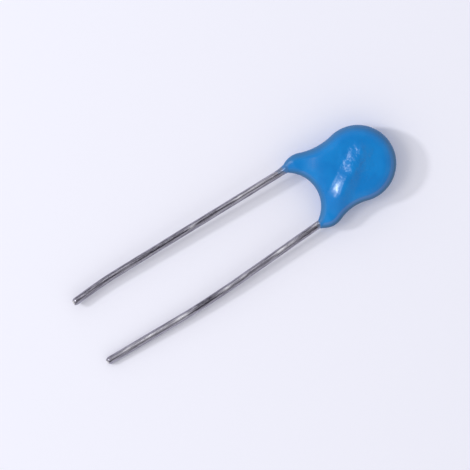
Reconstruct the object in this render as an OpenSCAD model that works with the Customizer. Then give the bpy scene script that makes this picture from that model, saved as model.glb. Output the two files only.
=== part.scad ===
// Ceramic disc capacitor, dip coated, with two straight radial leads. Millimetres.
//
// A ceramic disc carries a fired silver electrode on each face. The two leads are formed so that they
// grip the disc between them: each comes in along the middle plane, turns inwards at an elbow, climbs
// over the rim and crosses its own face, where it is soldered. The whole head is then dipped, and the
// coating stands in a rounded tooth with a leg down each lead and a round bay between the legs.
//
// The capacitor is drawn first in its own frame, with the disc flat, its middle over X = 0 and the leads
// running to -X on either side of Y = 0. laid() then turns it to lie as it rests on a table, on the ridge
// under the disc and on the tip of the front lead, and moves the middle of its footprint to the origin.

/* [Ceramic] */
// Diameter of the ceramic disc
ceramic_d = 4.9; // [4.4:0.1:5.4]
// Thickness of the ceramic disc
ceramic_t = 1.0; // [0.6:0.1:1.4]
// Bare rim left round each electrode
electrode_margin = 0.3; // [0.2:0.05:0.5]
// Thickness of each fired silver electrode
electrode_t = 0.03; // [0.02:0.01:0.06]
// How far the disc sits off the middle of the leads, to the front lead's side
disc_shift = 0.15; // [0:0.05:0.3]

/* [Leads] */
// Diameter of the wire
lead_d = 0.6; // [0.5:0.05:0.65]
// Distance between the leads where they leave the coating
lead_pitch = 5.0; // [4.6:0.1:5.4]
// Bend radius of the elbow and of the bend at the rim, to the middle of the wire
elbow_r = 0.7; // [0.5:0.1:0.9]
// Where each lead crosses the middle of the disc, measured past it to the other lead's side
crossing = 0.25; // [0:0.05:0.5]
// Length that each lead runs on past the middle of the disc
overrun = 0.7; // [0.4:0.1:0.9]
// Length of the front lead from the coating to its tip
lead_length = 19.9; // [19.6:0.1:24]
// How much shorter the rear lead is cut
rear_short = 0.3; // [0:0.05:0.5]
// Where the front lead has its gentle bend, from the coating to the middle of the bend
front_bend_at = 10.75; // [7:0.05:13]
// Where the rear lead has its gentle bend
rear_bend_at = 16.7; // [10:0.05:16.8]
// Radius of the gentle bend of the front lead
front_bend_r = 80; // [40:5:90]
// Radius of the gentle bend of the rear lead
rear_bend_r = 30; // [15:5:35]
// Outward lean of the front lead before its gentle bend, in degrees
front_lean_out = 2.3; // [1:0.1:3]
// Outward lean of the rear lead before its gentle bend, in degrees
rear_lean_out = 1.25; // [1:0.05:3]
// Inward lean of the front lead after its gentle bend, in degrees
front_lean_in = 2.2; // [1:0.1:3]
// Inward lean of the rear lead after its gentle bend, in degrees
rear_lean_in = 3.35; // [1:0.05:4]

/* [Solder] */
// Film of solder between a lead and its electrode
solder_film = 0.02; // [0.01:0.01:0.05]
// Solder over the top of a lead
solder_cover = 0.06; // [0.04:0.01:0.1]
// Half width of the solder's foot on the electrode
solder_foot = 0.55; // [0.45:0.05:0.7]
// Radius of the hollow between the foot and the wire
solder_hollow = 0.3; // [0.2:0.05:0.35]
// Thickness of the edge of the foot
solder_edge = 0.03; // [0.02:0.01:0.05]

/* [Coating] */
// Coating round the rim of the disc
coat_rim = 0.55; // [0.4:0.05:0.7]
// Coating on the open part of each face
coat_face = 0.55; // [0.35:0.05:0.6]
// Coating over a lead, where it crosses its face
coat_ridge = 0.2; // [0.16:0.01:0.3]
// Half width of the ridge that stands over a lead
ridge_reach = 1.05; // [0.9:0.05:1.5]
// Half thickness of the coating at the elbows
leg_h = 0.58; // [0.52:0.01:0.7]
// Coating on the lead at the end of each leg
leg_skin = 0.04; // [0.03:0.01:0.06]
// Distance from the coated rim to the elbows
elbow_gap = 1.05; // [0.8:0.05:1.3]
// Length of each leg past its elbow, on the side that faces the other lead
leg_run = 0.9; // [0.8:0.05:1.2]
// How much further the front leg runs on its outer side
front_slant = 0.25; // [0:0.05:0.4]
// How much further the rear leg runs on its outer side
rear_slant = 0.05; // [0:0.05:0.3]
// Width of the web between the coated rim and the bay
web_run = 0.81; // [0.6:0.01:1]
// Width of the front shoulder, outside the middle of its lead
front_shoulder = 0.73; // [0.55:0.01:0.8]
// Width of the rear shoulder, outside the middle of its lead
rear_shoulder = 0.65; // [0.55:0.01:0.75]
// Radius of the shoulders
shoulder_r = 1.65; // [1.4:0.05:1.9]
// Radius of the hollow neck between the disc and the front shoulder
front_neck_r = 3.6; // [3:0.1:6]
// Radius of the hollow neck between the disc and the rear shoulder
rear_neck_r = 5.0; // [3:0.1:6]

/* [Hidden] */

// Each lead is named by the side it is on: the rear one is at +Y and passes under the disc, the front
// one is at -Y and passes over it
rear = 1;
front = -1;

lead_r = lead_d / 2;
ceramic_r = ceramic_d / 2;
electrode_r = ceramic_r - electrode_margin;
coat_r = ceramic_r + coat_rim;
middle = [0, -disc_shift];                   // middle of the disc
seat_z = ceramic_t / 2 + electrode_t;        // outer face of an electrode
lead_z = seat_z + solder_film + lead_r;      // middle of a lead where it crosses its face
face_z = ceramic_t / 2 + coat_face;          // open face of the coating
ridge_z = lead_z + lead_r + coat_ridge;      // top of the ridge over a lead
elbow_x = -(coat_r + elbow_gap);
leg_end_x = elbow_x - leg_run;
leg_tip_h = lead_r + leg_skin;

rim_clear = 0.1;      // a lead is level with its face this far outside the ceramic
face_fade_in = 0.75;  // the flat of a face starts to thin this far inside the coated rim
face_fade_out = 0.95; // and is down to the thickness of a leg this far outside it
ridge_fade = 1.2;     // length over which a ridge dies out past the end of its lead
nose = 0.12;          // length over which the end of a leg rounds down onto its lead
edge_power = 2.2;     // power of the superellipse that rounds the edge of the coating
bend_neck = 0.002;    // a bend is this much thinner than the straight wire, on its radius,
bend_lap = 0.01;      // and reaches this far into the straights beside it
wire_fn = 24;
bend_fn = 240;
disc_fn = 72;

// Steps round each arc of the coating's edge, and rings from the middle of the disc out to it
rim_steps = 28;
neck_steps = 8;
shoulder_steps = 9;
flank_steps = 3;
nose_steps = 6;
bay_steps = 9;
rings = 16;

// ---- plane geometry ----

function unit(v) = v / norm(v);
function bearing(v) = atan2(v[1], v[0]);
function toward(a) = [cos(a), sin(a)];
function smooth(t) = let (u = min(1, max(0, t))) u * u * (3 - 2 * u);
function across(a, b) = a[0] * b[1] - a[1] * b[0];
function flip(p, side) = [p[0], side * p[1]];

// The points of an arc and of a straight, without their last
function arc(c, r, a0, a1, steps) = [for (i = [0:steps - 1]) c + r * toward(a0 + (a1 - a0) * i / steps)];
function straight(p, q, steps) = [for (i = [0:steps - 1]) p + (q - p) * i / steps];

// Where two circles meet, on the +Y side, when the second lies towards -X
function circles_meet(c1, r1, c2, r2) =
    let (d = norm(c2 - c1), e = (c2 - c1) / d, t = (r1 * r1 - r2 * r2 + d * d) / (2 * d))
    c1 + e * t + [e[1], -e[0]] * sqrt(r1 * r1 - t * t);

// ---- the leads, in plan ----
// A lead leans out from the coating to a gentle bend and leans in from there to its tip. Inside, it
// turns at its elbow and heads across the middle of the disc.

function side_of(v, side) = side == rear ? v[0] : v[1];
function lean_out(side) = side_of([rear_lean_out, front_lean_out], side);
function lean_in(side) = side_of([rear_lean_in, front_lean_in], side);
function near(side) = side_of([rear_bend_at, front_bend_at], side);
function far(side) = lead_length - side_of([rear_short, 0], side) - near(side);
function bend_r(side) = side_of([rear_bend_r, front_bend_r], side);

function exit_at(side) = [leg_end_x, side * lead_pitch / 2];
function elbow_at(side) = [elbow_x, side * (lead_pitch / 2 - leg_run * tan(lean_out(side)))];
function bend_at(side) = exit_at(side) + near(side) * flip(-toward(-lean_out(side)), side);
function tip_at(side) = bend_at(side) + far(side) * flip(-toward(lean_in(side)), side);
function crossing_at(side) = middle - [0, side * crossing];
function heading(side) = unit(crossing_at(side) - elbow_at(side));
function station(p, side) = (p - elbow_at(side)) * heading(side);
function off_line(p, side) = abs(across(heading(side), p - elbow_at(side)));

// Stations along a lead from its elbow: over the edge of a disc of radius r, level with its face, and its end
function over_edge(r, side) = station(middle, side) - sqrt(r * r - pow(off_line(middle, side), 2));
function level_at(side) = over_edge(ceramic_r, side) - rim_clear;
function end_at(side) = station(crossing_at(side), side) + overrun;

// ---- the edge of the coating, in plan ----
// Each half is worked out with its own lead at +Y. The rim of the disc, a hollow neck and a shoulder are
// arcs that run into each other without a corner, and a tangent falls from the shoulder to the lead.

function disc_middle(side) = flip(middle, side);
function shoulder_w(side) = side_of([rear_shoulder, front_shoulder], side);
function shoulder_middle(side) = [elbow_x, lead_pitch / 2 + shoulder_w(side) - shoulder_r];
function neck_r(side) = side_of([rear_neck_r, front_neck_r], side);
function neck_middle(side) =
    circles_meet(disc_middle(side), coat_r + neck_r(side), shoulder_middle(side), shoulder_r + neck_r(side));
function leg_outer(side) =
    [leg_end_x - side_of([rear_slant, front_slant], side), lead_pitch / 2 + leg_tip_h];
leg_inner = [leg_end_x, lead_pitch / 2 - leg_tip_h];
function flank_bearing(side) =
    let (v = leg_outer(side) - shoulder_middle(side)) bearing(v) - acos(min(1, shoulder_r / norm(v)));

// The bay between the legs is one circle, through its deepest point and the inner ends of the legs
bay_x = -(coat_r + web_run);
bay_depth = bay_x - leg_inner[0];
bay_r = (pow(bay_depth, 2) + pow(leg_inner[1], 2)) / (2 * bay_depth);
bay_middle = [bay_x - bay_r, 0];

// Half of the edge, from the far end of the disc round to the middle of the bay
function half_edge(side) =
    let (d = disc_middle(side), n = neck_middle(side), s = shoulder_middle(side), a = flank_bearing(side))
    concat(
        arc(d, coat_r, 0, bearing(n - d), rim_steps),
        arc(n, neck_r(side), bearing(d - n), bearing(s - n), neck_steps),
        arc(s, shoulder_r, bearing(n - s), a, shoulder_steps),
        straight(s + shoulder_r * toward(a), leg_outer(side), flank_steps),
        straight(leg_outer(side), leg_inner, nose_steps),
        arc(bay_middle, bay_r, asin(leg_inner[1] / bay_r), 0, bay_steps));

rear_half = half_edge(rear);
front_half = half_edge(front);
edge = concat(rear_half, [[bay_x, 0]],
              [for (i = [len(front_half) - 1:-1:1]) flip(front_half[i], front)]);

// ---- the thickness of the coating ----

// Distance from a point to the outer edge of its half, taken to whichever arc faces it
function outer_gap(q, side) =
    let (d = disc_middle(side), n = neck_middle(side), s = shoulder_middle(side), a = flank_bearing(side))
    bearing(q - d) <= bearing(n - d) ? coat_r - norm(q - d)
    : bearing(q - n) >= bearing(s - n) ? norm(q - n) - neck_r(side)
    : bearing(q - s) >= bearing(n - s) && bearing(q - s) <= a ? shoulder_r - norm(q - s)
    : shoulder_r - (q - s) * toward(a);
function bay_gap(p) = norm(p - bay_middle) - bay_r;
function nose_gap(q, side) =
    let (v = leg_outer(side) - leg_inner) (q - leg_inner) * unit([v[1], -v[0]]);

// Rounds an edge: 0 on it with an upright tangent, and 1 from a full width inside it
function rounded(gap, width) =
    pow(1 - pow(1 - min(1, max(0, gap / width)), edge_power), 1 / edge_power);

// Half thickness before the edges are rounded: the legs and the web, and with the flat of the faces
function leg_z(p) = leg_tip_h + (leg_h - leg_tip_h) * smooth((p[0] - leg_end_x) / leg_run);
function body_z(p) =
    let (on_face = smooth((coat_r + face_fade_out - norm(p - middle)) / (face_fade_in + face_fade_out)))
    leg_z(p) + (face_z - leg_z(p)) * on_face;

// The ridge that the coating keeps over a lead. Its crest climbs with the lead from the elbow to the
// disc, and dies out past the lead's end.
function crest_z(p, side) =
    leg_z(p) + (ridge_z - leg_z(p)) * smooth(station(p, side) / level_at(side));
function ridge_h(p, side) =
    max(0, crest_z(p, side) - body_z(p)) * smooth(1 - off_line(p, side) / ridge_reach)
    * smooth(1 - (station(p, side) - end_at(side)) / ridge_fade);

function coat_h(p, side) =
    let (own = p[1] >= middle[1] ? rear : front, q = flip(p, own), h = body_z(p) + ridge_h(p, side))
    h * rounded(outer_gap(q, own), h) * rounded(bay_gap(p), h) * rounded(nose_gap(q, own), nose);

// The skin is two domes on rings that shrink from the edge to the middle of the disc. The rings close up
// towards the edge, where the surface turns down.
function ring(k, side) =
    [for (p = edge) let (q = middle + (p - middle) * sin(90 * k / rings)) [q[0], q[1], -side * coat_h(q, side)]];
crown = coat_h(middle, front);
keel = coat_h(middle, rear);
coat_points = concat(
    [[middle[0], middle[1], crown]],
    [for (k = [1:rings - 1]) each ring(k, front)],
    [for (p = edge) [p[0], p[1], 0]],
    [for (k = [rings - 1:-1:1]) each ring(k, rear)],
    [[middle[0], middle[1], -keel]]);

around = len(edge);
bands = 2 * rings - 2;
last_point = len(coat_points) - 1;
coat_faces = concat(
    [for (i = [0:around - 1]) [0, 1 + (i + 1) % around, 1 + i]],
    [for (k = [0:bands - 1], i = [0:around - 1])
        let (a = 1 + k * around + i, b = 1 + k * around + (i + 1) % around)
        each [[a, b, b + around], [a, b + around, a + around]]],
    [for (i = [0:around - 1]) [last_point, last_point - around + i, last_point - around + (i + 1) % around]]);

// ---- how it lies ----
// It rests along the ridge over the rear lead and on the tip of the front lead, so it is turned about the
// line of that ridge until the two are level.

rest_axis = heading(rear);
rest_reach = across(rest_axis, crossing_at(rear) - tip_at(front));
rest_turn = acos(lead_r / norm([ridge_z, rest_reach])) - atan2(rest_reach, ridge_z);

function turned(p) =
    let (v = [rest_axis[0], rest_axis[1], 0])
    p * cos(rest_turn) + cross(v, p) * sin(rest_turn) + v * (v * p) * (1 - cos(rest_turn));
function tip_rim(side) =
    let (t = tip_at(side), w = lead_r * toward(90 + side * lean_in(side)))
    [for (a = [0:15:345]) [t[0] + w[0] * cos(a), t[1] + w[1] * cos(a), lead_r * sin(a)]];
extremes = [for (p = concat(coat_points, tip_rim(front), tip_rim(rear))) turned(p)];
lowest = [for (k = [0:2]) min([for (p = extremes) p[k]])];
highest = [for (k = [0:2]) max([for (p = extremes) p[k]])];

module laid() {
    translate([-(lowest[0] + highest[0]) / 2, -(lowest[1] + highest[1]) / 2, -lowest[2]])
        rotate(a = rest_turn, v = [rest_axis[0], rest_axis[1], 0])
            children();
}

// ---- wire, formed a stretch at a time ----
// Each stretch is drawn along +Z and carries what follows it. A bend turns towards +X.

module run(length) {
    cylinder(h = length, r = lead_r, $fn = wire_fn);
    translate([0, 0, length])
        children();
}

module bend(angle, radius) {
    lap = bend_lap / radius * 180 / PI;
    translate([radius, 0, 0])
        rotate([-90, 180, 0])
            rotate_extrude(start = -lap, angle = angle + 2 * lap, $fn = bend_fn)
                translate([radius, 0])
                    circle(r = lead_r - bend_neck, $fn = wire_fn);
    translate([radius, 0, 0])
        rotate([0, angle, 0])
            translate([-radius, 0, 0])
                children();
}

module roll(angle) {
    rotate([0, 0, angle])
        children();
}

// ---- the pieces, in the capacitor's own frame ----

// Turns what is drawn for the front lead, over the disc, to its own side
module on_side(side) {
    rotate([side == rear ? 180 : 0, 0, 0])
        children();
}

function slant(side) = -side * bearing(heading(side));   // plan angle at which a lead crosses the disc
function climb(side) = atan(lead_z / level_at(side));
function setback(angle, radius) = radius * tan(angle / 2);

// The wire of one lead, from its tip in to its end on the disc
module lead_wire(side) {
    gentle = lean_in(side) + lean_out(side);
    gentle_cut = setback(gentle, bend_r(side));
    turn_in = slant(side) - lean_out(side);
    rise = climb(side);
    // the elbow turns in and climbs at once, so it is one bend in a leaning plane
    elbow = acos(cos(rise) * cos(turn_in));
    elbow_roll = atan2(sin(rise), cos(rise) * sin(turn_in));
    elbow_cut = setback(elbow, elbow_r);
    rim_roll = atan2(-sin(turn_in) * sin(elbow_roll),
                     sin(turn_in) * cos(elbow_roll) * cos(elbow) - cos(turn_in) * sin(elbow));
    rim_cut = setback(rise, elbow_r);
    tip = tip_at(side);
    translate([tip[0], tip[1], 0])
        on_side(side)
            rotate([0, 0, -lean_in(side)])
                rotate([90, 0, 90])
                    run(far(side) - gentle_cut)
                    bend(gentle, bend_r(side))
                    run(near(side) + leg_run / cos(lean_out(side)) - gentle_cut - elbow_cut)
                    roll(elbow_roll)
                    bend(elbow, elbow_r)
                    roll(rim_roll)
                    run(norm([level_at(side), lead_z]) - elbow_cut - rim_cut)
                    bend(rise, elbow_r)
                    run(end_at(side) - level_at(side) - rim_cut);
}

// Section of the solder across a lead, standing on the electrode: a sleeve over the wire on a hollow foot
module solder_section() {
    intersection() {
        union() {
            translate([0, solder_film + lead_r])
                circle(r = lead_r + solder_cover, $fn = 48);
            difference() {
                translate([-solder_foot, 0])
                    square([2 * solder_foot, solder_edge + solder_hollow]);
                for (x = [-solder_foot, solder_foot])
                    translate([x, solder_edge + solder_hollow])
                        circle(r = solder_hollow, $fn = 48);
            }
        }
        translate([-solder_foot, 0])
            square([2 * solder_foot, 4 * lead_d]);
    }
}

module solder_end() {
    rotate_extrude(angle = 180, $fn = 72)
        intersection() {
            solder_section();
            square(4 * lead_d);
        }
}

// The solder along one lead, with the wire still in it
module solder_bead(side) {
    start = over_edge(electrode_r, side) + solder_foot + electrode_margin / 4;
    length = end_at(side) - start;
    foot = flip(elbow_at(side) + start * heading(side), -side);
    on_side(side)
        translate([foot[0], foot[1], seat_z])
            rotate([0, 0, slant(side)]) {
                rotate([90, 0, 90])
                    linear_extrude(length)
                        solder_section();
                rotate([0, 0, 90])
                    solder_end();
                translate([length, 0, 0])
                    rotate([0, 0, -90])
                        solder_end();
            }
}

module ceramic_blank() {
    translate([middle[0], middle[1], -ceramic_t / 2])
        cylinder(h = ceramic_t, r = ceramic_r, $fn = disc_fn);
}

module electrode_layer(side) {
    translate([middle[0], middle[1], side == front ? ceramic_t / 2 : -seat_z])
        cylinder(h = electrode_t, r = electrode_r, $fn = disc_fn);
}

// ---- the nodes, as the capacitor lies ----

module epoxy_coating() {
    color([0.15, 0.50, 0.79])
        laid()
            difference() {
                polyhedron(coat_points, coat_faces);
                ceramic_blank();
                for (side = [front, rear]) {
                    electrode_layer(side);
                    solder_bead(side);
                    lead_wire(side);
                }
            }
}

module ceramic_disc() {
    color([0.72, 0.58, 0.42])
        laid()
            ceramic_blank();
}

module electrode(side) {
    color([0.86, 0.86, 0.84])
        laid()
            electrode_layer(side);
}

module solder(side) {
    color([0.70, 0.72, 0.74])
        laid()
            difference() {
                solder_bead(side);
                lead_wire(side);
            }
}

module lead(side) {
    color([0.56, 0.55, 0.56])
        laid()
            lead_wire(side);
}

epoxy_coating();
ceramic_disc();
electrode(front);  // front_electrode
electrode(rear);  // rear_electrode
solder(front);  // front_solder
solder(rear);  // rear_solder
lead(front);  // front_lead
lead(rear);  // rear_lead
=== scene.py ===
import bpy
import numpy as np
from mathutils import Matrix, Vector


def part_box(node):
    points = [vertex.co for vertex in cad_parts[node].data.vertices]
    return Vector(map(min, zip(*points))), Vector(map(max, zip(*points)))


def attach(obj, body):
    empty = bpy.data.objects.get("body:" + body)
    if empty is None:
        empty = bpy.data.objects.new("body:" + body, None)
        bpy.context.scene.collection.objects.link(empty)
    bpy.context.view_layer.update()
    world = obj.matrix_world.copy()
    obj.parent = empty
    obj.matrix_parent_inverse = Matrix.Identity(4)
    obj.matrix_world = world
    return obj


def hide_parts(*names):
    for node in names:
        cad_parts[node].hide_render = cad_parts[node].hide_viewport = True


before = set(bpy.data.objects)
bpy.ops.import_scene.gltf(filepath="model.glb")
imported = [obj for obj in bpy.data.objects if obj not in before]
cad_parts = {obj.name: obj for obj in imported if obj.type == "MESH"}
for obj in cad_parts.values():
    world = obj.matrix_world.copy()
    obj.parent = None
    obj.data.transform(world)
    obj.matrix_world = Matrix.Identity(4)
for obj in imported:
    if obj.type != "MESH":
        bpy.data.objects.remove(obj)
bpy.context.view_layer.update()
print("frame loaded:", ", ".join(sorted(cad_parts)))

# Shapes are worked out in millimetres in the capacitor's own frame, with the disc flat and its middle
# over X = 0, and the leads running to -X on either side of Y = 0. The rear lead, at +Y, passes under
# the disc and the front lead over it. Angles are in degrees here, and in radians in the functions.
rear, front = 1, -1

head = {
    "ceramicRadius": 2.45,
    "ceramicThickness": 1.0,
    "electrode": 0.03,      # its thickness, and that of the solder under a lead
    "solderFilm": 0.02,
    "discShift": 0.15,      # the disc sits this far to the front lead's side
}
leads = {
    "radius": 0.3,
    "pitch": 5.0,           # where they leave the coating
    "elbowRadius": 0.7,
    "crossing": 0.25,       # how far past the middle of the disc a lead crosses it
    "overrun": 0.7,         # and how far it runs on from there
    "rimClear": 0.1,        # a lead is level with its face this far outside the ceramic
    # from the coating to the tip, with one gentle bend on the way; it leans out before it and in after
    rear: {"length": 19.6, "bendAt": 16.7, "bendRadius": 30, "leanOut": 1.25, "leanIn": 3.35},
    front: {"length": 19.9, "bendAt": 10.75, "bendRadius": 80, "leanOut": 2.3, "leanIn": 2.2},
    "ringStep": 0.06,       # between the rings of the mesh
    "sides": 64,
    # unevenness of the tin: how many waves, how many times one winds round, how long one is, and how
    # deep they are, as a share of the radius
    "tinWaves": 16,
    "tinWinds": (2, 7),
    "tinLength": (1.2, 7),
    "tinDepth": 0.011,
    "tinSeed": 5,
    "cutDepth": 0.13,       # how far the cutter's two slopes fall back from the ridge of a cut end
    "cutTurn": 0.6,         # how far that ridge is turned from level, in radians
    "cutRun": 0.5,          # how far along the lead the cut bends the rings of the mesh
    "capRings": (0.15, 0.4, 0.65, 0.85, 0.96),      # rings of the cut end, as shares of the radius
    "capCurve": 1.2,        # power of the slopes, which steepen outwards
    "lip": 0.01,            # how far the last of those rings stands out, to round the edge
    "nip": 0.3,             # how far the cutter drew its end in, as a share of the radius
    "nipRun": 0.2,
    "filmRun": {rear: 0.95, front: 0.5},    # how far resin has crept down a lead on its outer side
    "filmLean": 0.28,       # share of that by which it leans outwards
    "filmWave": 0.1,        # and by which its end waves, five times round
    "film": {rear: 0.12, front: 0.06},      # how thick it is at the coating
    "filmHeap": 0.4,        # share of that by which it is thicker on its outer side
    # die lines, and painted dark reflections over the top: degrees from +Y over the top, width and
    # depth
    "dieLinesAndReflections": {
        rear: ((46, 12, 0.45), (91, 13, 0.72), (146, 9, 0.25), (178, 12, 0.4), (222, 14, 0.6),
               (268, 12, 0.5), (312, 12, 0.6), (354, 9, 0.4)),
        front: ((46, 11, 0.3), (105, 13, 0.62), (150, 9, 0.1), (205, 12, 0.5), (246, 14, 0.6),
                (290, 11, 0.5), (328, 12, 0.4), (4, 10, 0.3)),
    },
    "lineSwing": ((3, 1.7), (4, 4.1)),      # its two swings, and the millimetres per radian of each
    "lineFade": (0.2, 0.9, 2.3),            # the share of it that comes and goes, and over what lengths
    "lineSeed": 15,
    # places painted bright, as the lamp's glints where the lead bends and as rubbed wear, and darker
    # where
    # the strength is below 0: millimetres from the tip, degrees, length, width and strength
    "patches": {
        rear: ((0.1, 66, 0.16, 22, 0.5), (8.2, 68, 3.6, 30, -0.45), (12.9, 66, 1.1, 26, -0.3),
               (11.0, 82, 0.35, 18, 1.0), (16.2, 70, 2.1, 18, 0.3), (15.3, 74, 0.4, 13, 0.9),
               (16.9, 70, 0.5, 13, 0.55), (2.2, 62, 2.4, 24, -0.25), (5.2, 116, 0.8, 12, 0.3),
               (7.5, 200, 0.9, 16, 0.8), (14.0, 330, 0.7, 14, 0.8), (3.0, 262, 1.1, 12, 0.7)),
        front: ((4.2, 80, 3.4, 22, 0.3), (3.9, 76, 0.4, 15, 1.0), (6.8, 76, 0.6, 19, 1.3),
                (1.9, 74, 0.4, 13, 0.8), (9.0, 68, 1.5, 34, -0.75), (11.0, 78, 0.4, 18, 1.2),
                (12.6, 74, 0.3, 14, 0.75), (16.4, 76, 1.4, 20, 0.3), (16.1, 72, 0.4, 16, 1.3),
                (17.2, 78, 0.3, 13, 0.7), (19.6, 64, 0.4, 18, 0.9), (14.4, 66, 1.5, 16, -0.25),
                (18.5, 76, 1.0, 28, -0.55), (9.4, 220, 0.8, 16, 0.8), (5.0, 310, 0.6, 12, 0.7),
                (15.0, 255, 1.0, 14, 0.7)),
    },
}
coat = {
    "rim": 0.55,            # resin round the rim of the disc, on its open faces and over the leads
    "face": 0.55,
    "ridge": 0.2,
    "ridgeReach": 1.05,     # half width of the ridge over a lead
    "ridgeFade": 1.2,       # it dies out over this length past the end of its lead
    "faceFadeIn": 1.15,     # the flat face starts to thin this far inside the coated rim
    "faceFadeOut": 1.85,    # and is down to the thickness of a leg this far outside it
    "legHeight": 0.58,      # half thickness at the elbows
    "legSkin": 0.04,        # resin on the lead at the end of each leg
    "legRun": 0.9,          # length of a leg past its elbow, on its inner side
    "legSlant": {rear: 0.05, front: 0.25},          # and how much further its outer side runs
    "elbowGap": 1.05,       # from the coated rim to the elbows
    "webRun": 0.81,         # from the coated rim to the bay
    "shoulder": {rear: 0.65, front: 0.73},          # width outside the middle of the lead
    "shoulderRadius": 1.65,
    "neckRadius": {rear: 5.0, front: 3.6},
    "nose": 0.12,           # the end of a leg rounds down over this length
    "edgePower": 2.2,       # of the superellipse that rounds the edge
    "edgeStep": 0.07,       # between the points of the mesh along its edge
    "rings": 100,           # from the edge to the middle, on each side
    "waves": 22,
    "waveLength": (0.7, 2.6),
    "waveTop": 0.6,         # a wave is levelled off above this share of its height
    "waveDepth": 0.011,
    "waveSeed": 11,
    # swells and hollows that draining left on its upper side: X, Y, height and width
    "swells": ((-2.56, -1.14, -0.033, 0.41), (-1.46, 0.98, -0.096, 0.98), (-1.71, -0.76, 0.017, 0.29),
               (-0.18, 0.8, 0.034, 0.46), (-1.29, -0.45, 0.019, 0.48), (-3.04, -1.49, 0.046, 0.28),
               (0.27, 0.4, -0.044, 0.46)),
    "swellInset": 0.3,      # they fade out over this much of the edge
    "peelReach": 2.05,      # from the middle of the disc to where the thick resin, and its peel, ends
    "peelFade": 1.1,
    # painted shade along the edge of the coating, darkest on the side away from the lamps
    "shadeReach": 0.62,      # how far in from the edge the painted shade reaches
    "shadeDepth": 0.57,      # and how much it darkens at the edge itself
    "shadeUnder": 0.48,      # what is left of that on its underside
    "shadeFadeHeight": 1.0,           # it goes from that to full, upwards, over this much of the edge's height
    "shadedSide": -82,        # the shade is darkest at edges that face this bearing, away from the lamps
    "lineReach": 0.25,       # how far in a darker line of painted shade reaches there
    "lineSoftness": 0.09,
    "lineShade": 0.27,      # how much that line darkens
    "lineAway": 0.35,       # what is left of the line at edges that face across
    "reflectionInset": 0.35,      # how far in from the edge a pale line of painted reflection beside that line lies
    "reflectionWidth": 0.1,
}

millimetre = 0.001
leadRadius = leads["radius"]
halfPitch = leads["pitch"] / 2
coatRadius = head["ceramicRadius"] + coat["rim"]
middle = np.array([0, -head["discShift"]])
leadZ = head["ceramicThickness"] / 2 + head["electrode"] + head["solderFilm"] + leadRadius
faceZ = head["ceramicThickness"] / 2 + coat["face"]
ridgeZ = leadZ + leadRadius + coat["ridge"]
elbowX = -(coatRadius + coat["elbowGap"])
legEndX = elbowX - coat["legRun"]
legTipHeight = leadRadius + coat["legSkin"]


# the unit vector at an angle
def toward(angle):
    return np.stack([np.cos(angle), np.sin(angle)], axis=-1)


# the angle of a vector
def bearing(v):
    return np.arctan2(v[..., 1], v[..., 0])


def unit(v):
    return v / np.linalg.norm(v, axis=-1, keepdims=True)


# the cross product in plan: positive where b is to the left of a
def across(a, b):
    return a[..., 0] * b[..., 1] - a[..., 1] * b[..., 0]


# the smooth step 3t^2 - 2t^3, level below 0 and above 1
def smooth(t):
    u = np.clip(t, 0, 1)
    return u * u * (3 - 2 * u)


# a point or vector mirrored to the other side of Y = 0 for the front lead, and as it is for the rear
def flip(p, side):
    return p * np.array([1, side])


# Where the leads run, in plan: from the coating out to the tip, and from the elbow in over the disc
def leanOut(side):
    return np.radians(leads[side]["leanOut"])


def leanIn(side):
    return np.radians(leads[side]["leanIn"])


def exitAt(side):
    return np.array([legEndX, side * halfPitch])


def elbowAt(side):
    return np.array([elbowX, side * (halfPitch - coat["legRun"] * np.tan(leanOut(side)))])


def bendAt(side):
    return exitAt(side) - leads[side]["bendAt"] * flip(toward(-leanOut(side)), side)


def tipAt(side):
    past = leads[side]["length"] - leads[side]["bendAt"]
    return bendAt(side) - past * flip(toward(leanIn(side)), side)


def crossingAt(side):
    return middle - np.array([0, side * leads["crossing"]])


def heading(side):
    return unit(crossingAt(side) - elbowAt(side))


# how far along a lead's line from its elbow a point is, and how far off that line
def station(p, side):
    return (p - elbowAt(side)) @ heading(side)


def offLine(p, side):
    return np.abs(across(heading(side), p - elbowAt(side)))


# the station where a lead is level with its face of the disc
def levelAt(side):
    chord = np.sqrt(head["ceramicRadius"] ** 2 - offLine(middle, side) ** 2)
    return station(middle, side) - chord - leads["rimClear"]


# and the station where it ends
def endAt(side):
    return station(crossingAt(side), side) + leads["overrun"]


# It rests on the ridge over the rear lead and on the tip of the front lead: turned about the line of
# that ridge until the two are level, with the disc where the frame has it
restAxis = np.append(heading(rear), 0)
restReach = across(heading(rear), crossingAt(rear) - tipAt(front))
restTurn = np.arccos(leadRadius / np.hypot(ridgeZ, restReach)) - np.arctan2(restReach, ridgeZ)
restMatrix = np.array(Matrix.Rotation(restTurn, 3, Vector(restAxis)))
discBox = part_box("ceramic_disc")
discCentre = np.array((discBox[0] + discBox[1]) / 2)
restShift = discCentre - restMatrix @ np.append(middle, 0) * millimetre


# points of the capacitor's own frame, in millimetres, where they lie in the scene, in metres
def laid(points):
    return points @ restMatrix.T * millimetre + restShift


# A mesh with its values at each point, kept as attributes for its material
def makePiece(name, points, faces, values):
    mesh = bpy.data.meshes.new(name)
    mesh.from_pydata(laid(points), [], faces)
    for key, data in values.items():
        kind, field = ("FLOAT_VECTOR", "vector") if data.ndim == 2 else ("FLOAT", "value")
        mesh.attributes.new(key, kind, "POINT").data.foreach_set(field, data.astype(np.float32).ravel())
    mesh.polygons.foreach_set("use_smooth", np.ones(len(mesh.polygons), bool))
    mesh.validate()
    mesh.update()
    piece = bpy.data.objects.new(name, mesh)
    bpy.context.scene.collection.objects.link(piece)
    return piece


# The quads between closed rings of points, which are numbered ring by ring from the first one
def gridFaces(rings, columns, first):
    ring = first + columns * np.arange(rings - 1)[:, None]
    column = np.arange(columns)[None, :]
    nextColumn = (column + 1) % columns
    quads = np.stack([ring + column, ring + nextColumn,
                      ring + columns + nextColumn, ring + columns + column], axis=-1)
    return quads.reshape(-1, 4)


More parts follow.
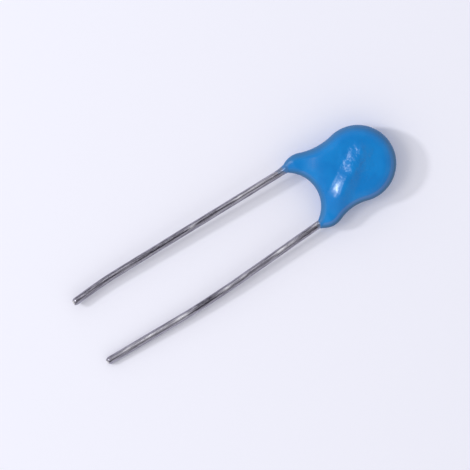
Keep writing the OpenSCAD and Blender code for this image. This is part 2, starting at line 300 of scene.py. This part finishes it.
# The fan that closes a ring of points at a pole
def fanFaces(pole, firstOfRing, columns, outwards):
    here = firstOfRing + np.arange(columns)
    there = np.roll(here, -1)
    pair = [here, there] if outwards else [there, here]
    return np.stack([np.full(columns, pole), *pair], axis=-1).tolist()


# The edge of the coating in plan. Each half is worked out with its own lead at +Y: the rim, a hollow
# neck and a shoulder are arcs that run into each other, and a tangent falls from the shoulder to the
# lead. One circle makes the bay between the legs.
def shoulderMiddle(side):
    return np.array([elbowX, halfPitch + coat["shoulder"][side] - coat["shoulderRadius"]])


# the neck's circle touches the rim's and the shoulder's from outside, so its middle is where two
# larger circles about theirs cross
def neckMiddle(side):
    reach = coatRadius + coat["neckRadius"][side]
    other = coat["shoulderRadius"] + coat["neckRadius"][side]
    line = shoulderMiddle(side) - flip(middle, side)
    gap = np.linalg.norm(line)
    along = (reach ** 2 - other ** 2 + gap ** 2) / (2 * gap)
    ahead = line / gap
    aside = np.array([ahead[1], -ahead[0]])
    return flip(middle, side) + ahead * along + aside * np.sqrt(reach ** 2 - along ** 2)


def legOuter(side):
    return np.array([legEndX - coat["legSlant"][side], halfPitch + legTipHeight])


legInner = np.array([legEndX, halfPitch - legTipHeight])


# where the tangent from the leg's outer corner touches the shoulder
def flankBearing(side):
    v = legOuter(side) - shoulderMiddle(side)
    return bearing(v) - np.arccos(min(1, coat["shoulderRadius"] / np.linalg.norm(v)))


# the bay's circle runs through the inner ends of both legs and touches the web
bayX = -(coatRadius + coat["webRun"])
bayDepth = bayX - legInner[0]
bayRadius = (bayDepth ** 2 + legInner[1] ** 2) / (2 * bayDepth)
bayMiddle = np.array([bayX - bayRadius, 0])


# points from one angle to another, or from one point to another, without the last one
def arcPoints(centre, radius, start, end):
    count = max(2, round(abs(end - start) * radius / coat["edgeStep"]))
    return centre + radius * toward(start + (end - start) * np.arange(count) / count)


def straightPoints(start, end):
    count = max(2, round(np.linalg.norm(end - start) / coat["edgeStep"]))
    return start + (end - start) * (np.arange(count) / count)[:, None]


# the middles of a half's three arcs, and where the last one turns into the tangent
def halfArcs(side):
    return flip(middle, side), neckMiddle(side), shoulderMiddle(side), flankBearing(side)


def halfEdge(side):
    disc, neck, shoulder, touch = halfArcs(side)
    return np.concatenate([
        arcPoints(disc, coatRadius, 0, bearing(neck - disc)),
        arcPoints(neck, coat["neckRadius"][side], bearing(disc - neck), bearing(shoulder - neck)),
        arcPoints(shoulder, coat["shoulderRadius"], bearing(neck - shoulder), touch),
        straightPoints(shoulder + coat["shoulderRadius"] * toward(touch), legOuter(side)),
        straightPoints(legOuter(side), legInner),
        arcPoints(bayMiddle, bayRadius, np.arcsin(legInner[1] / bayRadius), 0),
    ])


def coatEdge():
    frontHalf = halfEdge(front)
    return np.concatenate([halfEdge(rear), [[bayX, 0]], flip(frontHalf[:0:-1], front)])


# Distance from points to the outer edge of their half, taken to whichever arc faces them
def outerGap(q, side):
    disc, neck, shoulder, touch = halfArcs(side)
    fromShoulder = bearing(q - shoulder)
    return np.select(
        [bearing(q - disc) <= bearing(neck - disc),
         bearing(q - neck) >= bearing(shoulder - neck),
         (fromShoulder >= bearing(neck - shoulder)) & (fromShoulder <= touch)],
        [coatRadius - np.linalg.norm(q - disc, axis=-1),
         np.linalg.norm(q - neck, axis=-1) - coat["neckRadius"][side],
         coat["shoulderRadius"] - np.linalg.norm(q - shoulder, axis=-1)],
        coat["shoulderRadius"] - (q - shoulder) @ toward(touch))


# A quarter of a superellipse: 0 and upright at the edge, 1 and level a full width inside it
def rounded(gap, width):
    power = coat["edgePower"]
    return (1 - (1 - np.clip(gap / width, 0, 1)) ** power) ** (1 / power)


# Distance from points inwards from the end of their leg
def noseGap(q, side):
    v = legOuter(side) - legInner
    return (q - legInner) @ unit(np.array([v[1], -v[0]]))


# Half thickness of the coating, and how far in from its edge each point is: the legs, web and flat
# face blend into each other by smooth steps, the ridge over the lead climbs on them from the elbow to
# the disc, and a superellipse rounds every edge
def coatHeight(p, side):
    own = p[:, 1] >= middle[1]
    gap = np.where(own, outerGap(flip(p, rear), rear), outerGap(flip(p, front), front))
    noseward = np.where(own, noseGap(flip(p, rear), rear), noseGap(flip(p, front), front))
    bayGap = np.linalg.norm(p - bayMiddle, axis=1) - bayRadius
    thicker = (coat["legHeight"] - legTipHeight) * smooth((p[:, 0] - legEndX) / coat["legRun"])
    leg = legTipHeight + thicker
    fade = coat["faceFadeIn"] + coat["faceFadeOut"]
    onFace = smooth((coatRadius + coat["faceFadeOut"] - np.linalg.norm(p - middle, axis=1)) / fade)
    body = leg + (faceZ - leg) * onFace
    along = station(p, side)
    crest = leg + (ridgeZ - leg) * smooth(along / levelAt(side))
    ridge = (np.maximum(0, crest - body) * smooth(1 - offLine(p, side) / coat["ridgeReach"])
             * smooth(1 - (along - endAt(side)) / coat["ridgeFade"]))
    height = body + ridge
    rise = rounded(gap, height) * rounded(bayGap, height) * rounded(noseward, coat["nose"])
    return height * rise, np.minimum(gap, bayGap)


# The waves that the cured coating keeps: the sum of plane waves in all directions, their depth in
# step with their length, levelled off at the top so that they are never above the surface
def coatWaves(p, seed):
    rng = np.random.default_rng(seed)
    length = rng.uniform(*coat["waveLength"], coat["waves"])
    angle = rng.uniform(0, 2 * np.pi, coat["waves"])
    phase = rng.uniform(0, 2 * np.pi, coat["waves"])
    turns = p @ toward(angle).T / length
    waves = np.sin(2 * np.pi * turns + phase) @ (length / length.sum())
    return coat["waveDepth"] * np.minimum(waves - coat["waveTop"], 0)


# The sum of the swells and hollows, each one a bell round its middle, and none at the edge
def coatSwells(p, inset):
    total = np.zeros(len(p))
    for x, y, height, width in coat["swells"]:
        total += height * np.exp(-((p[:, 0] - x) ** 2 + (p[:, 1] - y) ** 2) / width ** 2)
    return total * smooth(inset / coat["swellInset"])


# The edge shrunk to a share of its size and lifted to the upper or the under side: its points, and how
# far in from the edge each of them is
def coatSide(edge, share, side):
    plan = middle + (edge - middle) * share
    height, inset = coatHeight(plan, side)
    waves = coatWaves(plan, coat["waveSeed"] + side) * np.clip(height / faceZ, 0, 1)
    if side == front:
        waves += coatSwells(plan, inset)
    return np.column_stack([plan, -side * (height + waves), inset])


# Painted shade along the edge, where the coating turns down out of the light: it falls smoothly from
# the edge to 0 a reach inside it, and a darker line along the edge is painted where the edge faces the
# shaded side
def coatEdgeShade(inset, facing):
    line = smooth((coat["lineReach"] - inset) / coat["lineSoftness"])
    line = line * np.clip(coat["lineAway"] + (1 - coat["lineAway"]) * facing, 0, 1)
    return coat["shadeDepth"] * smooth(1 - inset / coat["shadeReach"]) + coat["lineShade"] * line


# A painted reflection on the shaded side: a pale bell across a line inside the dark one, as strong as
# the edge there faces that side
def coatRimReflection(inset, facing):
    return np.exp(-((inset - coat["reflectionInset"]) / coat["reflectionWidth"]) ** 2) * np.clip(facing, 0, 1)


# How squarely each point of the edge faces the shaded side: the cosine of the angle between them
def edgeFacing(edge):
    along = np.roll(edge, -1, axis=0) - np.roll(edge, 1, axis=0)
    outwards = unit(np.column_stack([along[:, 1], -along[:, 0]]))
    return outwards @ toward(np.radians(coat["shadedSide"]))


# Two domes on rings that shrink from the edge to the middle of the disc by the sine of equal steps, so
# they close up where the surface turns down
def makeCoating():
    edge = coatEdge()
    columns = len(edge)
    shares = np.sin(np.pi / 2 * np.arange(coat["rings"] + 1) / coat["rings"])
    top = [coatSide(edge, share, front) for share in shares[1:-1]]
    under = [coatSide(edge, share, rear) for share in shares[-2:0:-1]]
    crown = coatSide(middle[None, :], 1, front)
    keel = coatSide(middle[None, :], 1, rear)
    rim = np.column_stack([edge, np.zeros((columns, 2))])
    layers = np.concatenate([crown, *top, rim, *under, keel])
    points, inset = layers[:, :3], layers[:, 3]
    rings = len(top) + 1 + len(under)
    last = len(points) - 1
    faces = gridFaces(rings, columns, 1)[:, ::-1].tolist()
    faces += fanFaces(0, 1, columns, True) + fanFaces(last, last - columns, columns, False)
    # the painted shade and the painted reflection along the edge, weaker on the underside
    facing = np.concatenate([[0], np.tile(edgeFacing(edge), rings), [0]])
    upper = coat["shadeUnder"] + (1 - coat["shadeUnder"]) * smooth(0.5 + points[:, 2] / coat["shadeFadeHeight"])
    reach = coat["peelReach"] - np.linalg.norm(points[:, :2] - middle, axis=1)
    piece = makePiece("dip_coating", points, faces, {
        "thin": coatEdgeShade(inset, facing) * upper,
        "bead": coatRimReflection(inset, facing) * upper,
        "thick": smooth(reach / coat["peelFade"]),
    })
    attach(piece, "root")
    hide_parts("epoxy_coating")
    return piece


# A line through corners with each one rounded by its radius, as points, directions and lengths from
# its start
def bentLine(corners, radii, step):
    points, directions, lengths = [], [], []
    run = 0
    start = corners[0]
    for i in range(1, len(corners)):
        ahead = unit(corners[i] - corners[i - 1])
        bends = i < len(corners) - 1
        cut = 0
        if bends:
            onward = unit(corners[i + 1] - corners[i])
            radius = radii[i - 1]
            turn = np.arccos(np.clip(ahead @ onward, -1, 1))
            cut = radius * np.tan(turn / 2)
        end = corners[i] - ahead * cut
        straight = np.linalg.norm(end - start)
        s = np.linspace(0, straight, max(2, int(straight / step)))[:, None]
        points.append(start + ahead * s)
        directions.append(np.broadcast_to(ahead, points[-1].shape))
        lengths.append(run + s[:, 0])
        run += straight
        if bends:
            inwards = unit(onward - ahead * (ahead @ onward))
            count = max(4, int(turn * radius / step))
            t = (turn * np.arange(1, count) / count)[:, None]
            points.append(end + radius * (np.sin(t) * ahead + (1 - np.cos(t)) * inwards))
            directions.append(np.cos(t) * ahead + np.sin(t) * inwards)
            lengths.append(run + radius * t[:, 0])
            run += radius * turn
            start = end + radius * (np.sin(turn) * ahead + (1 - np.cos(turn)) * inwards)
    return np.concatenate(points), np.concatenate(directions), np.concatenate(lengths)


# The middle line of a lead, from its tip by its bend and its elbow to its end on the disc
def leadLine(side):
    level = elbowAt(side) + levelAt(side) * heading(side)
    end = elbowAt(side) + endAt(side) * heading(side)
    plan = [tipAt(side), bendAt(side), elbowAt(side), level, end]
    z = -side * leadZ
    corners = np.column_stack([plan, [0, 0, 0, z, z]])
    radii = [leads[side]["bendRadius"], leads["elbowRadius"], leads["elbowRadius"]]
    return bentLine(corners, radii, leads["ringStep"])


# Unevenness of the tin round and along a lead: twice the mean of waves that wind round it and run
# along it, less 1 and held from -2 to 0, so that it is never above the wire's radius
def tinWaves(angle, length, seed):
    rng = np.random.default_rng(seed)
    count = leads["tinWaves"]
    winds = rng.integers(*leads["tinWinds"], count)
    wavelength = rng.uniform(*leads["tinLength"], count)
    phase = rng.uniform(0, 2 * np.pi, count)
    turn = rng.choice([-1, 1], count)
    waves = np.sin(angle[..., None] * winds * turn + 2 * np.pi * length[..., None] / wavelength + phase)
    return leads["tinDepth"] * np.clip(waves.mean(-1) * 2 - 1, -2, 0)


# How far round it is to an angle from a line or patch, in degrees from -180 to 180
def degreesOff(angle, at):
    return (np.degrees(angle) - at + 180) % 360 - 180


# How dark the die lines, and the painted dark reflections over the top, make a lead: the sum of soft
# lines along it, which swing a little and fade in and out
def dieAndReflectionShade(angle, length, side):
    rng = np.random.default_rng(leads["lineSeed"] + side)
    (small, smallRun), (large, largeRun) = leads["lineSwing"]
    share, shortRun, longRun = leads["lineFade"]
    shade = np.zeros(len(angle))
    for at, width, depth in leads["dieLinesAndReflections"][side]:
        start = rng.uniform(0, 2 * np.pi, 4)
        place = at + small * np.sin(length / smallRun + start[0])
        place = place + large * np.sin(length / largeRun + start[1])
        fade = share * np.sin(length / shortRun + start[2]) * np.sin(length / longRun + start[3])
        shade += depth * (1 - share + fade) * np.exp(-(degreesOff(angle, place) / width) ** 2)
    return np.clip(shade, 0, 1)


# How much a lead is painted bright, with glints and rubbed wear, and darker below 0: the sum of soft
# ellipses round it and along it
def patchTone(angle, length, side):
    tone = np.zeros(len(angle))
    for at, turn, run, width, strength in leads["patches"][side]:
        tone += strength * np.exp(-((length - at) / run) ** 2 - (degreesOff(angle, turn) / width) ** 2)
    return tone


# How much resin is left on a lead past the coating: 1 at the coating, and down to 0 in a line that
# waves round the lead and runs furthest on its outer side
def filmCover(angle, length, side):
    lean = 1 - leads["filmLean"] + leads["filmLean"] * side * np.cos(angle)
    run = leads["filmRun"][side] * (lean + leads["filmWave"] * np.sin(5 * angle))
    return np.clip(1 - (leads[side]["length"] - length) / run, 0, 1)


# The radius of a lead: the wire with its uneven tin, drawn in at the cut, and the resin that crept on
# to it, heaped on its outer side
def leadRadii(angle, length, side):
    nip = 1 - leads["nip"] * np.clip(1 - length / leads["nipRun"], 0, 1) ** 2
    wire = leadRadius * (1 + tinWaves(angle, length, leads["tinSeed"] + side)) * nip
    heap = 1 - leads["filmHeap"] + leads["filmHeap"] * side * np.cos(angle)
    return wire + leads["film"][side] * filmCover(angle, length, side) ** 2 * heap


# A circle carried along the lead's line: each point stands off the line by the radius, and is pushed
# along it near the first end, which is cut to two slopes that meet in a ridge. Round it, the angle
# runs from +Y over the top.
def makeLead(side, name, node):
    line, ahead, length = leadLine(side)
    sides = leads["sides"]
    angle = 2 * np.pi * np.arange(sides) / sides
    run = length[:, None]
    over = unit(np.cross([0, 0, 1], ahead))
    up = np.cross(ahead, over)
    outward = over[:, None] * np.cos(angle)[:, None] + up[:, None] * np.sin(angle)[:, None]
    radius = leadRadii(angle, run, side)
    cut = leads["cutDepth"] * np.abs(np.sin(angle + leads["cutTurn"] * side))
    push = cut * np.clip(1 - run / leads["cutRun"], 0, 1)
    tube = line[:, None] + outward * radius[..., None] + ahead[:, None] * push[..., None]
    shares = np.array(leads["capRings"])[:, None]
    fallen = cut * shares ** leads["capCurve"] - leads["lip"] * (shares == shares[-1])
    cap = line[0] + outward[0] * (radius[0] * shares)[..., None] + ahead[0] * fallen[..., None]
    points = np.concatenate([line[:1], cap.reshape(-1, 3), tube.reshape(-1, 3), line[-1:]])
    rings = len(cap) + len(tube)
    last = len(points) - 1
    faces = gridFaces(rings, sides, 1).tolist()
    faces += fanFaces(0, 1, sides, False) + fanFaces(last, last - sides, sides, True)
    onCap = 1 + len(cap) * sides
    lengths = np.concatenate([np.zeros(onCap), np.repeat(length, sides), length[-1:]])
    angles = np.concatenate([[0], np.tile(angle, rings), [0]])
    tone = patchTone(angles, lengths, side)
    lined = dieAndReflectionShade(angles, lengths, side) - np.minimum(tone, 0)
    piece = makePiece(name, points, faces, {
        "wound": np.column_stack([np.cos(angles), np.sin(angles), lengths]),
        "bare": (np.arange(len(points)) < onCap).astype(float),
        "wet": np.concatenate([np.zeros(onCap), filmCover(angle, run, side).ravel(), [1]]),
        "lined": np.clip(lined, 0, 1),
        "rubbed": np.clip(tone, 0, 1),
    })
    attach(piece, "root")
    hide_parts(node)
    return piece


coating = makeCoating()
print("coating:", len(coating.data.polygons), "faces")
frontWire = makeLead(front, "front_wire", "front_lead")
rearWire = makeLead(rear, "rear_wire", "rear_lead")
print("leads:", len(frontWire.data.polygons) + len(rearWire.data.polygons), "faces")


# A value in a material, which expressions turn into Math nodes
class Value:
    def __init__(self, finish, socket):
        self.finish = finish
        self.socket = socket

    def maths(self, operation, first, second):
        return self.finish.add("ShaderNodeMath", {"operation": operation}, {0: first, 1: second})

    def __add__(self, other):
        return self.maths("ADD", self, other)

    def __sub__(self, other):
        return self.maths("SUBTRACT", self, other)

    def __mul__(self, other):
        return self.maths("MULTIPLY", self, other)

    def __rsub__(self, other):
        return self.maths("SUBTRACT", other, self)

    __radd__ = __add__
    __rmul__ = __mul__


# A material, or the world, as nodes
class Finish:
    def __init__(self, holder):
        holder.use_nodes = True
        self.holder = holder
        self.nodes = holder.node_tree.nodes
        self.links = holder.node_tree.links
        self.nodes.clear()

    # adds a node: its settings come first, then the values or links of its sockets
    def add(self, kind, settings=None, sockets=None, result=0):
        node = self.nodes.new(kind)
        for key, value in (settings or {}).items():
            if key == "stops":
                elements = node.color_ramp.elements
                for _ in value[2:]:
                    elements.new(1)
                for element, (position, shade) in zip(elements, value):
                    element.position = position
                    element.color = shade
            else:
                setattr(node, key, value)
        for key, value in (sockets or {}).items():
            socket = node.inputs[key]
            if isinstance(value, Value):
                self.links.new(value.socket, socket)
            else:
                socket.default_value = value
        return Value(self, node.outputs[result]) if node.outputs else node

    def attribute(self, name, result="Fac"):
        return self.add("ShaderNodeAttribute", {"attribute_name": name}, None, result)

    def noise(self, place, scale, detail, roughness=0.5):
        return self.add("ShaderNodeTexNoise", None,
                        {"Vector": place, "Scale": scale, "Detail": detail, "Roughness": roughness})

    # a smooth step from start to end, as a value goes from low to high
    def ramp(self, value, low, high, start=0, end=1):
        sockets = {"Value": value, "From Min": low, "From Max": high, "To Min": start, "To Max": end}
        return self.add("ShaderNodeMapRange", {"interpolation_type": "SMOOTHSTEP"}, sockets)

    def mix(self, factor, first, second):
        return self.add("ShaderNodeMix", {"data_type": "RGBA"}, {0: factor, 6: first, 7: second}, 2)

    def stretch(self, place, scale):
        return self.add("ShaderNodeVectorMath", {"operation": "MULTIPLY"}, {0: place, 1: scale})

    def bump(self, height, distance, strength=1):
        return self.add("ShaderNodeBump", None,
                        {"Height": height, "Distance": distance, "Strength": strength})

    # where a point is on its piece, in metres
    def place(self):
        return self.add("ShaderNodeTexCoord", None, None, "Object")

    def surface(self, sockets):
        shader = self.add("ShaderNodeBsdfPrincipled", None, sockets)
        self.add("ShaderNodeOutputMaterial", None, {"Surface": shader})
        return self.holder


def newFinish(name):
    return Finish(bpy.data.materials.new(name))


# sRGB, as a colour is seen, to the linear values of a shader
def colour(red, green, blue):
    seen = np.array([red, green, blue]) / 255
    linear = np.where(seen <= 0.04045, seen / 12.92, ((seen + 0.055) / 1.055) ** 2.4)
    return (*linear.tolist(), 1)


# Scales of patterns are in cells per metre, and their heights in metres. Noise keeps near 0.5, so this
# range of it is what a pattern spreads over its two shades.
noiseRange = (0.35, 0.65)

epoxy = {
    "blue": colour(4, 124, 202),
    "deepBlue": colour(0, 117, 195),
    "paleBlue": colour(8, 131, 208),
    "cloudScale": 700,
    "grainScale": 9000,
    "grainTone": 0.4,       # how much the grain varies the blue, and the gloss
    "grainGloss": 0.06,
    "thin": colour(68, 98, 120),    # painted shade along the edge
    "shadeRange": (0.93, 0.1),       # how much of that shows, and how much more where the blue is pale
    "bead": colour(168, 146, 168),  # of the painted reflection beside it
    "reflectionTone": 0.15,
    "roughness": 0.205,
    "edgeRoughness": 0.5,   # how much rougher the resin is where the edge shade is painted
    "gloss": 0.31,
    "peel": 0.00018,        # height of the orange peel
    "peelScale": 1600,
    "peelLeft": 0.06,       # what is left of it past the disc
    "fineScale": 16000,
    "fine": 0.04,           # share of the fine peel
}


def epoxyFinish():
    finish = newFinish("blue_epoxy")
    place = finish.place()
    thin, bead, thick = (finish.attribute(name) for name in ("thin", "bead", "thick"))
    cloud = finish.ramp(finish.noise(place, epoxy["cloudScale"], detail=2), *noiseRange)
    grain = finish.noise(place, epoxy["grainScale"], detail=3, roughness=0.6) - 0.5
    body = finish.mix(cloud, epoxy["deepBlue"], epoxy["paleBlue"])
    body = finish.mix(0.5 + epoxy["grainTone"] * grain, body, epoxy["blue"])
    shown, more = epoxy["shadeRange"]
    # painted shade along the edge
    body = finish.mix(thin * (shown + more * cloud), body, epoxy["thin"])
    # a pale line of painted reflection inside the dark one
    body = finish.mix(epoxy["reflectionTone"] * bead, body, epoxy["bead"])
    peel = finish.noise(place, epoxy["peelScale"], detail=2, roughness=0.4)
    fine = finish.noise(place, epoxy["fineScale"], detail=2)
    height = (peel + fine * epoxy["fine"] - 0.5) * (epoxy["peelLeft"] + (1 - epoxy["peelLeft"]) * thick)
    rough = epoxy["roughness"] + epoxy["grainGloss"] * grain + epoxy["edgeRoughness"] * thin
    return finish.surface({
        "Base Color": body,
        "Roughness": rough,
        "Specular IOR Level": epoxy["gloss"],
        "Normal": finish.bump(height, epoxy["peel"]),
    })


tin = {
    "bright": colour(182, 180, 194),
    "dull": colour(122, 119, 132),
    "dark": colour(48, 44, 57),     # in the die lines and the painted dark reflections
    # painted glints, and rubbed wear
    "rubbed": colour(232, 231, 240),
    "bare": colour(214, 212, 208),  # the wire at a cut end
    "wet": colour(112, 130, 162),   # under the film of resin
    "crept": colour(40, 110, 172),  # the film where it is thick, beside the coating
    # patterns, drawn out along the wire: their cells per radius across it, and per millimetre along it
    "streaks": (4.8, 4.8, 0.64),
    "lines": (13.5, 13.5, 0.9),
    "specks": (3, 3, 2.7),
    "streakRange": (0.38, 0.62),
    "lineWear": 1.35,       # how much the fine lines and the specks break up the die lines and painted reflections
    "speckWear": 1.3,
    "darkRange": (0.05, 0.95),
    "glintAndWearRange": (0.35, 0.55, 0.5, 1),    # half to all of it shows, as the lines go up this range
    "glintAndWearBreakup": 0.6,      # how much the specks break up the painted glints and wear, and the crept film's end
    "creptWear": 0.3,
    "wetRange": (0.02, 0.2),        # how much film there has to be to wet the tin, and to hide it
    "creptRange": (0.5, 0.95),
    "wetTone": 0.6,
    "wetGloss": 0.5,        # how much smoother the film makes it, and how strong its own gloss is
    "wetCoat": 0.5,
    "wetRoughness": 0.3,
    "roughness": 0.3,
    "speckRoughness": 0.25,
    "lineRoughness": 0.15,
    "grooves": 0.00001,     # height of the fine lines, and how strongly they turn the light
    "grooveStrength": 0.7,
    "speckShare": 0.4,      # height of the specks, as a share of that
}


def tinFinish():
    finish = newFinish("tinned_wire")
    wound = finish.attribute("wound", "Vector")
    bare, lined, rubbed, film = (finish.attribute(name) for name in ("bare", "lined", "rubbed", "wet"))
    streaks, lines, specks = (
        finish.noise(finish.stretch(wound, tin[name]), scale=1, detail=3, roughness=0.6)
        for name in ("streaks", "lines", "specks"))
    line, speck = lines - 0.5, specks - 0.5
    ragged = finish.ramp(lined + tin["lineWear"] * line + tin["speckWear"] * speck, *tin["darkRange"])
    glintAndWearShown = rubbed * finish.ramp(lines + tin["glintAndWearBreakup"] * speck, *tin["glintAndWearRange"])
    wet = finish.ramp(film, *tin["wetRange"])
    crept = finish.ramp(film + tin["creptWear"] * speck, *tin["creptRange"])
    shade = finish.mix(finish.ramp(streaks, *tin["streakRange"]), tin["dull"], tin["bright"])
    # die lines, and painted dark reflections over the top of the wire
    shade = finish.mix(ragged, shade, tin["dark"])
    # painted glints, and rubbed wear
    shade = finish.mix(glintAndWearShown, shade, tin["rubbed"])
    shade = finish.mix(bare, shade, tin["bare"])
    shade = finish.mix(tin["wetTone"] * wet, shade, tin["wet"])
    shade = finish.mix(crept, shade, tin["crept"])
    rough = tin["roughness"] + tin["speckRoughness"] * speck + tin["lineRoughness"] * line
    grooves = finish.bump(lines + tin["speckShare"] * specks, tin["grooves"], tin["grooveStrength"])
    return finish.surface({
        "Base Color": shade,
        "Metallic": 1 - crept,
        "Roughness": rough * (1 - tin["wetGloss"] * wet),
        "Coat Weight": tin["wetCoat"] * wet,
        "Coat Roughness": tin["wetRoughness"],
        "Normal": grooves,
    })


# the pieces inside, by a word in the names of their nodes
inside = {
    "ceramic_disc": {
        "finish": "fired_ceramic",
        "dark": colour(170, 138, 104),
        "light": colour(196, 168, 132),
        "scale": 14000,
        "height": 0.00001,
        "metallic": 0,
        "roughness": 0.7,
    },
    "electrode": {
        "finish": "fired_silver",
        "dark": colour(190, 190, 188),
        "light": colour(222, 222, 218),
        "scale": 9000,
        "height": 0.000006,
        "metallic": 0.9,
        "roughness": 0.5,
    },
    "solder": {
        "finish": "solder",
        "dark": colour(150, 152, 156),
        "light": colour(196, 198, 202),
        "scale": 3000,
        "height": 0.000012,
        "metallic": 1,
        "roughness": 0.35,
    },
}


def grainFinish(look, unevenness=0.2):
    finish = newFinish(look["finish"])
    grain = finish.noise(finish.place(), look["scale"], detail=4, roughness=0.6)
    return finish.surface({
        "Base Color": finish.mix(finish.ramp(grain, *noiseRange), look["dark"], look["light"]),
        "Metallic": look["metallic"],
        "Roughness": look["roughness"] + unevenness * (grain - 0.5),
        "Normal": finish.bump(grain, look["height"]),
    })


coating.data.materials.append(epoxyFinish())
wireFinish = tinFinish()
for wire in (frontWire, rearWire):
    wire.data.materials.append(wireFinish)
for word, look in inside.items():
    finish = grainFinish(look)
    for name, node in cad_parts.items():
        if word in name:
            node.material_slots[0].material = finish
print("finishes:", ", ".join(material.name for material in bpy.data.materials))

stage = {
    "floor": colour(240, 240, 252),
    "floorHalf": 4,         # half its width, in metres
    "floorRoughness": 0.9,
    "floorGloss": 0.1,
    "fibreScale": 1200,
    "fibreHeight": 0.000004,
    # brightness of the studio at the sine of each elevation: pale walls, a dimmer ceiling
    "studio": ((0.0, 0.59), (0.12, 0.59), (0.3, 0.81), (0.75, 0.81), (0.92, 0.46), (1.0, 0.42)),
}
# bearings are from +X towards +Y, lengths in metres and powers in watts
lamps = {
    "window": {"bearing": 146.5, "elevation": 56, "distance": 0.36, "size": 0.129, "power": 0.216},
    "bulb": {"bearing": 139, "elevation": 37.4, "distance": 0.33, "size": 0.038, "power": 0.308},
}


def makeFloor():
    half = stage["floorHalf"]
    mesh = bpy.data.meshes.new("floor")
    corners = [(-half, -half, 0), (half, -half, 0), (half, half, 0), (-half, half, 0)]
    mesh.from_pydata(corners, [], [(0, 1, 2, 3)])
    floor = bpy.data.objects.new("floor", mesh)
    bpy.context.scene.collection.objects.link(floor)
    finish = newFinish("pale_paper")
    fibres = finish.noise(finish.place(), stage["fibreScale"], detail=4, roughness=0.6)
    mesh.materials.append(finish.surface({
        "Base Color": stage["floor"],
        "Roughness": stage["floorRoughness"],
        "Specular IOR Level": stage["floorGloss"],
        "Normal": finish.bump(fibres, stage["fibreHeight"]),
    }))


def makeWorld():
    world = bpy.data.worlds.new("studio")
    bpy.context.scene.world = world
    finish = Finish(world)
    direction = finish.add("ShaderNodeTexCoord", None, None, "Generated")
    rise = finish.add("ShaderNodeSeparateXYZ", None, {0: direction}, "Z")
    stops = [(sine, (level, level, level, 1)) for sine, level in stage["studio"]]
    brightness = finish.add("ShaderNodeValToRGB", {"stops": stops}, {"Fac": rise})
    background = finish.add("ShaderNodeBackground", None, {"Color": brightness, "Strength": 1})
    finish.add("ShaderNodeOutputWorld", None, {"Surface": background})


def makeLamp(name):
    lamp = lamps[name]
    data = bpy.data.lights.new(name, "AREA")
    data.shape = "DISK"
    data.size = lamp["size"]
    data.energy = lamp["power"]
    light = bpy.data.objects.new(name, data)
    bpy.context.scene.collection.objects.link(light)
    elevation = np.radians(lamp["elevation"])
    direction = Vector((*(toward(np.radians(lamp["bearing"])) * np.cos(elevation)), np.sin(elevation)))
    light.location = direction * lamp["distance"]
    light.rotation_euler = direction.to_track_quat("Z", "Y").to_euler()


view = {
    "right": (0.84, -0.5426),   # the camera's right, along the table
    "width": 36.6,              # what it takes in, in millimetres, at the height of the disc
    "aim": (-11.06, 0.499),     # from the middle of the disc, in millimetres
    "distance": 0.7,            # straight up from there, in metres
    "sensor": 36,           # width of its sensor, in millimetres
    "clip": (0.01, 10),
}


def makeCamera():
    data = bpy.data.cameras.new("camera")
    right = Vector((*view["right"], 0)).normalized()
    back = Vector((0, 0, 1))
    above = back.cross(right)
    aim = Vector(discCentre) + Vector((*view["aim"], 0)) * millimetre
    camera = bpy.data.objects.new("camera", data)
    bpy.context.scene.collection.objects.link(camera)
    camera.matrix_world = Matrix.Translation(aim + back * view["distance"]) @ Matrix(
        (right, above, back)).transposed().to_4x4()
    data.sensor_width = view["sensor"]
    data.lens = view["sensor"] * view["distance"] / (view["width"] * millimetre)
    data.clip_start, data.clip_end = view["clip"]
    bpy.context.scene.camera = camera


makeFloor()
makeWorld()
for name in lamps:
    makeLamp(name)
makeCamera()
bpy.context.scene.view_settings.view_transform = "Standard"
print("stage set")
